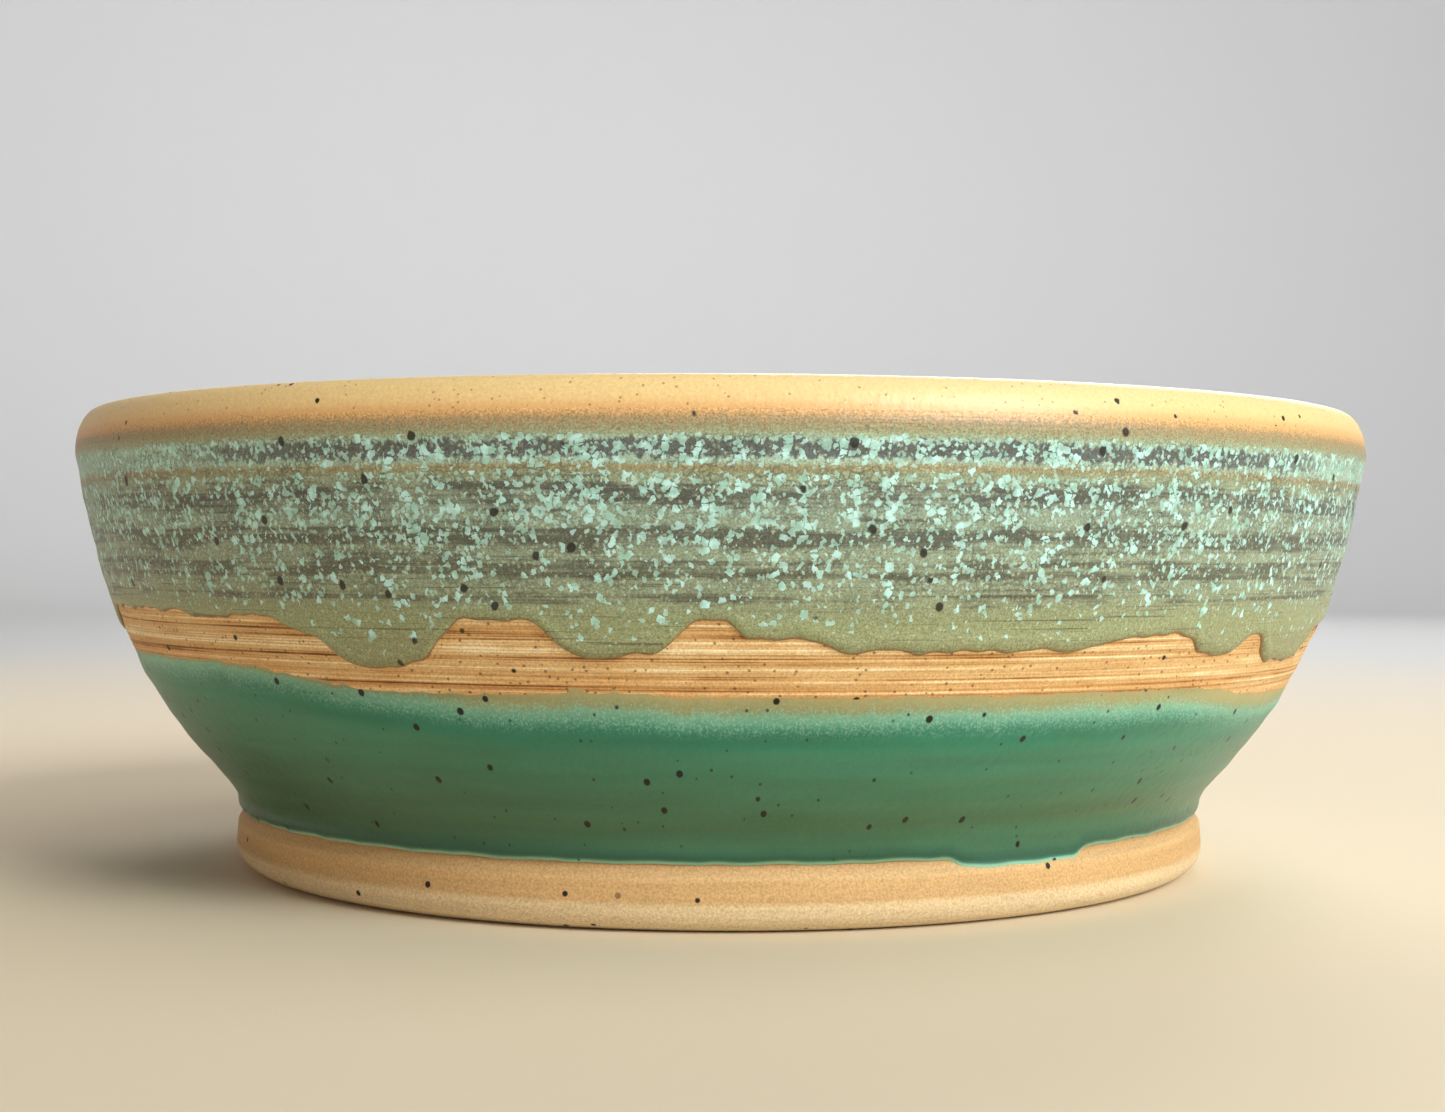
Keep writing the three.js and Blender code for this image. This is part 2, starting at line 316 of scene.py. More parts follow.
def grid_faces(row_count, keep):
    columns = len(AZIMUTH)
    index = np.arange(row_count * columns).reshape(row_count, columns)
    right = np.roll(index, -1, 1)
    quads = np.stack([index[:-1], right[:-1], right[1:], index[1:]], -1)
    face_row = np.broadcast_to(np.arange(row_count - 1)[:, None], keep.shape)
    return quads[keep], face_row[keep]


def slot_wall(vertices, keep, top_row):
    """Quads across the wall between the slot's edge on the outside and the same edge on the inside."""
    columns = len(AZIMUTH)
    added = []
    faces = []
    bridge = {}

    def across(vertex):
        if vertex not in bridge:
            row, column = divmod(vertex, columns)
            other = (2 * top_row - row) * columns + column
            inner = []
            if other != vertex:
                for k in range(1, SLOT_ROWS):
                    inner.append(len(vertices) + len(added))
                    added.append(vertices[vertex] + (vertices[other] - vertices[vertex]) * (k / SLOT_ROWS))
            else:
                inner = [vertex] * (SLOT_ROWS - 1)
            bridge[vertex] = [vertex, *inner, other]
        return bridge[vertex]

    outer = keep[:top_row]
    for row in range(top_row):
        for column in np.nonzero(~np.roll(outer[row], 1) & outer[row])[0]:
            a = (row + 1) * columns + column
            faces.append((a, row * columns + column))
        for column in np.nonzero(outer[row] & ~np.roll(outer[row], -1))[0]:
            right = (column + 1) % columns
            faces.append((row * columns + right, (row + 1) * columns + right))
        if row > 0:
            for column in np.nonzero(outer[row] & ~outer[row - 1])[0]:
                faces.append((row * columns + column, row * columns + (column + 1) % columns))
            for column in np.nonzero(~outer[row] & outer[row - 1])[0]:
                faces.append((row * columns + (column + 1) % columns, row * columns + column))
    quads = []
    for a, b in faces:
        from_a = across(a)
        from_b = across(b)
        for k in range(SLOT_ROWS):
            quads.append((from_b[k], from_a[k], from_a[k + 1], from_b[k + 1]))
    return np.array(added).reshape(-1, 3), np.array(quads, int).reshape(-1, 4)


def used_only(vertices, quads, facts):
    """Drops the vertices that no quad uses. facts are one value for each vertex, by name."""
    used, flat = np.unique(quads, return_inverse=True)
    return vertices[used], flat.reshape(quads.shape), {name: values[used] for name, values in facts.items()}


def shell(vertices, quads, facts):
    """A closed coat: the front faces, the same faces drawn back by its thickness, and a wall round the
    border. Also returns how many faces at the end make up that wall."""
    vertices, quads, facts = used_only(vertices, quads, facts)
    a, b, c, d = (vertices[quads[:, k]] for k in range(4))
    face_normal = np.cross(c - a, d - b)
    normal = np.zeros_like(vertices)
    for k in range(4):
        np.add.at(normal, quads[:, k], face_normal)
    normal /= np.maximum(np.linalg.norm(normal, axis=1), 1e-12)[:, None]
    count = len(vertices)
    back = quads[:, ::-1] + count
    ends = np.concatenate([quads[:, [k, (k + 1) % 4]] for k in range(4)])
    ends = ends[ends[:, 0] != ends[:, 1]]
    there = ends[:, 0] * count + ends[:, 1]
    and_back = ends[:, 1] * count + ends[:, 0]
    border = ends[~np.isin(there, and_back)]
    wall = np.stack([border[:, 1], border[:, 0], border[:, 0] + count, border[:, 1] + count], -1)
    doubled = {name: np.concatenate([values, values]) for name, values in facts.items()}
    solid = np.concatenate([vertices, vertices - normal * COAT_SHELL])
    return solid, np.concatenate([quads, back, wall]), doubled, len(wall)


def make_object(name, vertices, quads, facts, flat_count=0):
    """Mesh object from quads in millimetres, with the facts as point attributes. A quad with a repeated
    corner becomes a triangle. The last flat_count faces are shaded flat, with sharp edges round them."""
    repeated = np.stack([quads[:, k] == quads[:, (k + 1) % 4] for k in range(4)], 1)
    sizes = 4 - repeated.sum(1)
    whole = sizes >= 3
    loops = quads[whole][~repeated[whole]]
    sizes = sizes[whole]
    starts = np.concatenate([[0], np.cumsum(sizes)[:-1]])
    mesh = bpy.data.meshes.new(name)
    mesh.vertices.add(len(vertices))
    mesh.vertices.foreach_set("co", (vertices * MM).astype(np.float32).ravel())
    mesh.loops.add(len(loops))
    mesh.loops.foreach_set("vertex_index", loops.astype(np.int32))
    mesh.polygons.add(len(sizes))
    mesh.polygons.foreach_set("loop_start", starts.astype(np.int32))
    mesh.polygons.foreach_set("loop_total", sizes.astype(np.int32))
    flat = np.arange(len(quads)) >= len(quads) - flat_count
    mesh.polygons.foreach_set("use_smooth", ~flat[whole])
    for fact, values in facts.items():
        mesh.attributes.new(fact, "FLOAT", "POINT").data.foreach_set("value", values.astype(np.float32))
    mesh.update(calc_edges=True)
    edge_of_corner = np.empty(len(loops), np.int32)
    mesh.loops.foreach_get("edge_index", edge_of_corner)
    sharp = np.zeros(len(mesh.edges), bool)
    sharp[edge_of_corner[np.repeat(flat[whole], sizes)]] = True
    mesh.attributes.new("sharp_edge", "BOOLEAN", "EDGE").data.foreach_set("value", sharp)
    mesh.validate()
    piece = bpy.data.objects.new(name, mesh)
    bpy.context.scene.collection.objects.link(piece)
    return piece


DRIP = DRIP_LINE - lobes(UPPER_DRIPS, AZIMUTH) + wander(AZIMUTH, 0.5, 1)
LOWER_EDGE = LOWER_TOP - lobes(LOWER_RISES, AZIMUTH) + wander(AZIMUTH, 0.3, 2)
FOOT_EDGE = LOWER_BOTTOM - lobes(FOOT_DRIPS, AZIMUTH) + wander(AZIMUTH, 0.15, 3)
EDGE_STEPS = np.array([0, 0.04, 0.12, 0.24, 0.4, 0.6, 0.85, 1.15, 1.5, 2.0, 2.6])


def bead(distance, thickness, roll):
    """Thickness of a coat at a distance from its rounded edge, with a fuller roll just inside the edge."""
    rise = np.sqrt(1 - (1 - np.clip(distance / 0.8, 0, 1)) ** 2)
    swell = roll * np.exp(-(((distance - 1.3) / 0.8) ** 2)) * rise
    return -0.03 + (thickness + 0.03) * rise + swell


def upper_zone_heights():
    """Rows of the upper glaze from its dripped edge to the rim line."""
    heights = [DRIP + step for step in EDGE_STEPS]
    rows = 44
    for k in range(1, rows + 1):
        heights.append((DRIP + EDGE_STEPS[-1]) * (1 - k / rows) + RIM_LINE * (k / rows))
    return heights


def rim_zone_heights():
    """Rows from the rim line to just short of the top of the rim."""
    heights = []
    first = math.asin((RIM_LINE - SHOULDER_HEIGHT) / (HEIGHT - SHOULDER_HEIGHT))
    for turn in np.linspace(first, math.pi / 2, 13)[1:-1]:
        heights.append(SHOULDER_HEIGHT + (HEIGHT - SHOULDER_HEIGHT) * math.sin(turn))
    return heights


def inside_rows(first_z, offset):
    """Rows of the inside below a first height, down the wall and across the floor to its middle."""
    start = inside_run(first_z)
    end = INSIDE["run"][-1]
    count = 84
    return [inside_row(start + (end - start) * k / count, offset) for k in range(1, count + 1)]


def close_pole(quads, row_count):
    """Makes the last row one point."""
    columns = len(AZIMUTH)
    first = (row_count - 1) * columns
    return np.where(quads >= first, np.where(quads < row_count * columns, first, quads), quads)


def all_rows(values, count):
    """One value per column, repeated for a number of rows."""
    return np.tile(values, count)


def make_glazes():
    """The upper glaze and the liner glaze share one surface, which runs from the dripped edge up the outside,
    over the rim and down to the middle of the floor, with the slot through it."""
    heights = upper_zone_heights()
    roll = COAT_BEAD * (0.5 + lobes(UPPER_DRIPS, AZIMUTH) / 8)
    rows = [outside_row(z, bead(z - DRIP, COAT, roll)) for z in heights]
    rows += [outside_row(z, COAT) for z in rim_zone_heights()]
    rows.append(outside_row(HEIGHT, COAT))
    top = len(rows) - 1
    for row in rows[top - 1::-1]:
        rows.append(inside_row(inside_run(row[1]), COAT))
    rows += inside_rows(rows[-1][1], COAT)
    vertices, keep, slot_gap = place(rows, SLOT_WIDTH, SLOT_FILLET)
    quads, face_row = grid_faces(len(rows), keep)
    quads = close_pole(quads, len(rows))
    added, wall = slot_wall(vertices, keep, top)
    edge_height = np.concatenate([all_rows(DRIP, len(rows)), np.full(len(added), DRIP_LINE)])
    stripe = np.concatenate([all_rows(lobes(DARK_STRIPE, AZIMUTH), len(rows)), np.zeros(len(added))])
    vertices = np.concatenate([vertices, added])
    facts = {
        "above_drip": vertices[:, 2] - edge_height,
        "stripe": stripe,
        "from_slot": np.concatenate([slot_gap, np.zeros(len(added))]),
    }
    upper = face_row < len(heights) - 1
    upper_glaze = make_object("upper_glaze_coat", *shell(vertices, quads[upper], facts))
    liner_quads = np.concatenate([quads[~upper], wall])
    liner_facts = {"from_slot": facts["from_slot"]}
    liner_glaze = make_object("liner_glaze_coat", *shell(vertices, liner_quads, liner_facts))
    return upper_glaze, liner_glaze


def make_lower_glaze():
    heights = [FOOT_EDGE + step for step in EDGE_STEPS]
    body_rows = 46
    low = FOOT_EDGE + EDGE_STEPS[-1]
    for k in range(1, body_rows + 1):
        heights.append(low * (1 - k / body_rows) + LOWER_EDGE * (k / body_rows))
    rows = []
    for z in heights:
        from_top = LOWER_EDGE - z
        thin = 0.05 + 0.95 * smooth((from_top - 0.4) / 3.5)
        feather = smooth(from_top / 0.5)
        thickness = bead(z - FOOT_EDGE, COAT, COAT_BEAD) * thin * feather - 0.03 * (1 - feather)
        rows.append(outside_row(z, thickness))
    vertices, keep, _ = place(rows, SLOT_WIDTH, SLOT_FILLET)
    quads, _ = grid_faces(len(rows), keep)
    facts = {
        "below_top": all_rows(LOWER_EDGE, len(rows)) - vertices[:, 2],
        "khaki_thin": all_rows(lobes(KHAKI_THIN, AZIMUTH), len(rows)),
        "above_foot": vertices[:, 2] - all_rows(FOOT_EDGE, len(rows)),
    }
    return make_object("lower_glaze_coat", *shell(vertices, quads, facts))


def make_body():
    """The clay, from the middle of the underside round the foot, up the wall, over the rim and inside."""
    rows = []
    under = bezier([(0, RECESS_HEIGHT), (FOOT_REST_INNER - 4, RECESS_HEIGHT)], 30)
    recess = bezier([
        (FOOT_REST_INNER - 4, RECESS_HEIGHT), (FOOT_REST_INNER - 0.5, RECESS_HEIGHT), (FOOT_REST_INNER, 0.5),
        (FOOT_REST_INNER + 0.6, 0),
    ], 14)
    rest = bezier([(FOOT_REST_INNER + 0.6, 0), (FOOT_REST_OUTER - 1, 0)], 8)
    bevel = bezier([
        (FOOT_REST_OUTER - 1, 0), (FOOT_REST_OUTER + 1.5, 0), (FOOT_RADIUS, 1.4), (FOOT_RADIUS, 3.6),
    ], 20)
    side = bezier([
        (FOOT_RADIUS, 3.6), (FOOT_RADIUS, 4.8), (LEDGE_RADIUS, 6.0), (LEDGE_RADIUS, LEDGE_BOTTOM),
    ], 14)
    foot = np.concatenate([under, recess[1:], rest[1:], bevel[1:], side[1:]])

    heights = [LEDGE_BOTTOM + (FOOT_EDGE - LEDGE_BOTTOM) * k / 12 for k in range(1, 13)]
    heights += [FOOT_EDGE + 0.5, FOOT_EDGE + 1.2]
    heights += [FOOT_EDGE + 1.2 + (LOWER_EDGE - FOOT_EDGE - 3) * k / 14 for k in range(1, 15)]
    heights.append(LOWER_EDGE - 0.4)
    bare_rows = 60
    heights += [LOWER_EDGE - 0.2 + (DRIP - LOWER_EDGE + 0.3) * k / bare_rows for k in range(bare_rows + 1)]
    heights += [DRIP + 0.4, DRIP + 0.9]
    upper_rows = 48
    heights += [DRIP + 0.9 + (RIM_LINE - DRIP - 0.9) * k / upper_rows for k in range(1, upper_rows + 1)]
    grooves = []
    for z in heights:
        covered_low = smooth((z - FOOT_EDGE - 0.1) / 0.5) * smooth((LOWER_EDGE - z - 0.3) / 0.8)
        covered_up = smooth((z - DRIP - 0.15) / 0.5)
        covered = np.maximum(covered_low, covered_up)
        bare = (1 - covered) * smooth((z - FOOT_EDGE - 3) / 2)
        lines = groove_line(z, AZIMUTH, 0.33, 0.022, 5) + groove_line(z, AZIMUTH, 0.9, 0.025, 8)
        rows.append(outside_row(z, -UNDERLAP * covered + lines * bare))
        grooves.append(lines * bare / 0.035)
    rows += [outside_row(z, -UNDERLAP) for z in rim_zone_heights()]
    rows.append(outside_row(HEIGHT, -UNDERLAP))
    top = len(rows) - 1
    mirrored = [inside_row(inside_run(row[1]), -UNDERLAP) for row in rows[top - 1:top - 60:-1]]
    below = inside_rows(mirrored[-1][1], -UNDERLAP)
    rows = rows + mirrored + below
    vertices, keep, _ = place(rows, SLOT_CLAY_WIDTH, SLOT_FILLET)
    quads, _ = grid_faces(len(rows), keep)
    quads = close_pole(quads, len(rows))
    added, wall = slot_wall(vertices, keep, top)
    band = len(added) + len(foot) * len(AZIMUTH)
    facts = {
        "below_drip": np.concatenate([all_rows(DRIP, len(rows)) - vertices[:, 2], np.full(band, 30)]),
        "above_lower": np.concatenate([vertices[:, 2] - all_rows(LOWER_EDGE, len(rows)), np.full(band, -20)]),
        "groove": np.concatenate([*grooves, np.zeros(len(vertices) + band - len(grooves) * len(AZIMUTH))]),
    }

    foot_grid = np.stack([
        foot[:, 0][:, None] * np.sin(AZIMUTH), -foot[:, 0][:, None] * np.cos(AZIMUTH),
        np.broadcast_to(foot[:, 1][:, None], (len(foot), len(AZIMUTH))),
    ], -1)
    columns = len(AZIMUTH)
    base = len(vertices) + len(added)
    index = base + np.arange(len(foot) * columns).reshape(len(foot), columns)
    index[0] = base
    index = np.concatenate([index, np.arange(columns)[None, :]])
    right = np.roll(index, -1, 1)
    foot_quads = np.stack([index[:-1], right[:-1], right[1:], index[1:]], -1).reshape(-1, 4)
    vertices = np.concatenate([vertices, added, foot_grid.reshape(-1, 3)])
    quads = np.concatenate([quads, wall, foot_quads])
    return make_object("clay_body", *used_only(vertices, quads, facts))


def rgb(red, green, blue):
    """Linear colour from one on the screen's 0 to 255 scale."""
    values = [value / 255 for value in (red, green, blue)]
    linear = [v / 12.92 if v <= 0.04045 else ((v + 0.055) / 1.055) ** 2.4 for v in values]
    return (*linear, 1)


class Graph:
    """Short ways to add and wire a material's nodes. All lengths are millimetres."""

    def __init__(self, name):
        self.material = bpy.data.materials.new(name)
        self.material.use_nodes = True
        self.tree = self.material.node_tree
        self.shader = self.tree.nodes["Principled BSDF"]
        self.point = self.stretch(self.node("ShaderNodeTexCoord", {}).outputs["Object"], 1 / MM)
        self.height = self.node("ShaderNodeSeparateXYZ", {0: self.point}).outputs["Z"]

    def put(self, socket, value):
        if isinstance(value, bpy.types.NodeSocket):
            self.tree.links.new(value, socket)
        else:
            socket.default_value = value

    def node(self, kind, inputs, **settings):
        node = self.tree.nodes.new(kind)
        for setting, value in settings.items():
            setattr(node, setting, value)
        for socket, value in inputs.items():
            self.put(node.inputs[socket], value)
        return node

    def math(self, operation, a, b):
        return self.node("ShaderNodeMath", {0: a, 1: b}, operation=operation).outputs[0]

    def vector_math(self, operation, a, b):
        return self.node("ShaderNodeVectorMath", {0: a, 1: b}, operation=operation).outputs[0]

    def stretch(self, vector, across, up=None):
        """Vector with x and y multiplied by one number and z by another."""
        return self.vector_math("MULTIPLY", vector, (across, across, across if up is None else up))

    def around(self):
        """Place on an upright cylinder of the rim's radius, so that a pattern does not smear on the flare."""
        flat = self.stretch(self.point, 1, 0)
        ring = self.stretch(self.vector_math("NORMALIZE", flat, (0, 0, 0)), RIM_RADIUS, 0)
        return self.vector_math("ADD", ring, self.stretch(self.point, 0, 1))

    def radius(self):
        """Distance from the bowl's axis."""
        flat = self.stretch(self.point, 1, 0)
        return self.node("ShaderNodeVectorMath", {0: flat}, operation="LENGTH").outputs[1]

    def turned(self):
        """Radius and height, so that a pattern makes rings on flat and upright faces alike."""
        ring = self.node("ShaderNodeCombineXYZ", {0: self.radius(), 2: self.height}).outputs[0]
        return self.vector_math("ADD", ring, self.stretch(self.point, 0.04, 0))

    def fact(self, name):
        return self.node("ShaderNodeAttribute", {}, attribute_name=name).outputs["Fac"]

    def noise(self, vector, across, up=None, detail=2.0):
        """Noise about 0.5, with so many features to the millimetre across and up."""
        inputs = {"Vector": self.stretch(vector, across, up), "Scale": 1.0, "Detail": detail}
        return self.node("ShaderNodeTexNoise", inputs).outputs["Fac"]

    def swayed(self, vector, amount, across):
        """Vector moved about by noise."""
        inputs = {"Vector": self.stretch(vector, across), "Scale": 1.0, "Detail": 1.0}
        sway = self.node("ShaderNodeTexNoise", inputs).outputs["Color"]
        sway = self.vector_math("SUBTRACT", sway, (0.5, 0.5, 0.5))
        return self.vector_math("ADD", vector, self.stretch(sway, amount))

    def cells(self, vector, across, up, feature="F1"):
        """Distance from the middle or the edge of irregular cells of a size in mm, and a random value."""
        inputs = {"Vector": self.stretch(vector, 1 / across, 1 / up), "Scale": 1.0}
        node = self.node("ShaderNodeTexVoronoi", inputs, feature=feature)
        if feature == "DISTANCE_TO_EDGE":
            return node.outputs["Distance"]
        value = self.node("ShaderNodeSeparateColor", {0: node.outputs["Color"]}).outputs[0]
        return node.outputs["Distance"], value

    def step(self, value, low, high):
        """0 on low's side and 1 on high's side, with a smooth change between."""
        inputs = {"Value": value, "From Min": low, "From Max": high}
        return self.node("ShaderNodeMapRange", inputs, interpolation_type="SMOOTHSTEP").outputs["Result"]

    def band(self, value, low, high, soft):
        rise = self.step(value, low - soft, low + soft)
        fall = self.step(value, high + soft, high - soft)
        return self.math("MULTIPLY", rise, fall)

    def mix(self, share, a, b, blend="MIX"):
        node = self.node("ShaderNodeMix", {}, data_type="RGBA", blend_type=blend)
        self.put(node.inputs[0], share)
        self.put(node.inputs[6], a)
        self.put(node.inputs[7], b)
        return node.outputs[2]

    def ramp(self, value, stops):
        """Colour or grey from (value, colour) stops."""
        low = stops[0][0]
        high = stops[-1][0]
        inputs = {"Value": value, "From Min": low, "From Max": high}
        share = self.node("ShaderNodeMapRange", inputs).outputs["Result"]
        node = self.node("ShaderNodeValToRGB", {0: share})
        elements = node.color_ramp.elements
        for k, (at, color) in enumerate(stops):
            place = (at - low) / (high - low)
            element = elements[k] if k < 2 else elements.new(place)
            element.position = place
            element.color = color if isinstance(color, tuple) else (color, color, color, 1)
        return node.outputs["Color"]

    def shade(self, color, value, low, high, depth):
        """Colour multiplied by a factor between 1 - depth and 1 + depth as value goes from low to high."""
        inputs = {"Value": value, "From Min": low, "From Max": high, "To Min": 1 - depth, "To Max": 1 + depth}
        factor = self.node("ShaderNodeMapRange", inputs).outputs["Result"]
        return self.mix(1.0, color, factor, "MULTIPLY")

    def specks(self, vector, spacing, radius, tall=1.0):
        """Mask of scattered iron spots. Only some cells have one, each fading out over the outer part of its
        radius.
        """
        distance, chance = self.cells(vector, spacing, spacing * tall)
        return self.math("MULTIPLY", self.step(distance, radius / spacing, 0.7 * radius / spacing),
                         self.step(chance, 0.2, 0.25))

    def finish(self, color, roughness, bumps):
        """Sets the shader. bumps are (height from 0 to 1, millimetres) pairs."""
        self.put(self.shader.inputs["Base Color"], color)
        self.put(self.shader.inputs["Roughness"], roughness)
        total = None
        for height, depth in bumps:
            scaled = self.math("MULTIPLY", height, depth)
            total = scaled if total is None else self.math("ADD", total, scaled)
        bump = self.node("ShaderNodeBump", {"Height": total, "Distance": MM})
        self.put(self.shader.inputs["Normal"], bump.outputs["Normal"])
        return self.material


IRON = rgb(30, 20, 12)
SCORCH = rgb(150, 92, 48)


def stoneware_material():
    """Bare orange-brown clay: fine thrown lines between the glazes, partly clay tone and partly painted shade
    in their grooves and painted highlight on their ridges; paler and smoother on the foot.
    """
    g = Graph("stoneware")
    around = g.around()
    lines = g.noise(around, 0.012, 3.4, 3.5)
    # The mesh's groove heights make the ridges paler and the grooves darker: painted highlight and painted
    # shade
    lines = g.math("ADD", lines, g.math("MULTIPLY", g.fact("groove"), 0.06))
    patches = g.noise(around, 0.12, 0.6, 3.0)
    lines = g.math("ADD", lines, g.math("MULTIPLY", g.math("SUBTRACT", patches, 0.5), 0.3))
    # Colour of the thrown lines: clay tone, with painted shade at the dark end and painted highlight at the
    # pale end
    band = g.ramp(lines, [
        (0.26, rgb(106, 62, 26)), (0.33, rgb(160, 108, 54)), (0.39, rgb(206, 156, 94)),
        (0.48, rgb(222, 178, 118)), (0.58, rgb(230, 190, 130)), (0.65, rgb(242, 212, 158)),
        (0.72, rgb(252, 234, 192)),
    ])
    near_glaze = g.step(g.fact("below_drip"), 2.4, 0.2)
    band = g.mix(g.math("MULTIPLY", near_glaze, 0.12), band, rgb(244, 214, 170), "MULTIPLY")
    low = g.step(g.fact("above_lower"), 2.2, 0.4)
    band = g.mix(g.math("MULTIPLY", low, 0.5), band, rgb(240, 212, 176), "MULTIPLY")
    # Foot tones by height: partly clay tone; the paler bevel under 3.6 mm is partly painted light from below,
    # and the lighter stop at 7.2 mm on the ledge is a painted highlight
    foot = g.ramp(g.height, [
        (0, rgb(228, 208, 172)), (1.4, rgb(228, 205, 166)), (3.6, rgb(221, 193, 148)),
        (4.4, rgb(205, 163, 109)), (6.6, rgb(210, 168, 112)), (7.2, rgb(213, 173, 120)),
        (8.2, rgb(200, 160, 108)), (9.0, rgb(170, 130, 86)),
    ])
    foot_streaks = g.noise(g.turned(), 1.1, detail=3.0)
    foot = g.shade(foot, foot_streaks, 0.3, 0.7, 0.07)
    in_band = g.step(g.fact("above_lower"), -3, -2)
    color = g.mix(in_band, foot, band)
    grain = g.noise(g.point, 3.2, detail=3.0)
    color = g.shade(color, grain, 0.3, 0.7, 0.2)
    rust = g.step(g.noise(g.point, 0.35, 1.2, 3.0), 0.62, 0.74)
    color = g.mix(g.math("MULTIPLY", rust, 0.35), color, rgb(196, 142, 84))
    pepper = g.specks(g.point, 1.2, 0.24)
    peppered = g.ramp(g.fact("above_lower"), [(-3, 0.15), (-2, 0.7)])
    color = g.mix(g.math("MULTIPLY", pepper, peppered), color, rgb(98, 60, 30))
    spots = g.specks(g.point, 4.6, 0.52)
    color = g.mix(spots, color, IRON)
    lines = g.math("MULTIPLY", lines, in_band)
    roughness = g.ramp(lines, [(0.3, 0.7), (0.7, 0.5)])
    return g.finish(color, roughness, [(grain, 0.05), (lines, 0.1), (foot_streaks, 0.05), (spots, 0.05)])


def liner_material():
    """Honey glaze on the rim and inside, which breaks to orange where it runs thin."""
    g = Graph("liner_glaze")
    color = g.ramp(g.height, [
        (10.5, rgb(206, 160, 96)), (14, rgb(214, 171, 108)), (24, rgb(222, 184, 122)),
        (58, rgb(230, 196, 134)), (65.0, rgb(224, 176, 115)), (65.5, rgb(229, 182, 120)),
        (66.1, rgb(236, 197, 134)), (67, rgb(238, 205, 142)), (69, rgb(236, 205, 144)),
    ])
    inside = g.step(g.radius(), RIM_RADIUS - 0.5, RIM_RADIUS - 2)
    color = g.mix(g.math("MULTIPLY", inside, g.step(g.height, 64, 67)), color, rgb(234, 201, 140))
    turning = g.noise(g.around(), 0.012, 0.42, 2.0)
    turning_floor = g.noise(g.vector_math("ADD", g.stretch(g.point, 0.03), (7, 0, 0)), 1, detail=2.0)
    deep = g.math("MULTIPLY", inside, 0.5)
    color = g.mix(g.math("MULTIPLY", deep, g.step(turning, 0.42, 0.62)), color, rgb(212, 164, 98))
    color = g.mix(g.math("MULTIPLY", deep, g.step(turning_floor, 0.45, 0.65)), color, rgb(230, 198, 138))
    grain = g.noise(g.point, 2.6, detail=3.0)
    color = g.shade(color, grain, 0.3, 0.7, 0.08)
    freckle = g.specks(g.point, 1.2, 0.2)
    color = g.mix(g.math("MULTIPLY", freckle, 0.6), color, rgb(140, 96, 52))
    thin = g.step(g.fact("from_slot"), 1.7, 0.5)
    color = g.mix(g.math("MULTIPLY", thin, 0.75), color, rgb(206, 146, 82))
    spots = g.specks(g.swayed(g.point, 0.5, 0.9), 3.9, 0.46)
    color = g.mix(spots, color, IRON)
    peel = g.noise(g.point, 0.9, detail=3.0)
    roughness = g.ramp(grain, [(0.3, 0.34), (0.7, 0.46)])
    return g.finish(color, roughness, [(peel, 0.1), (grain, 0.015), (spots, 0.04)])


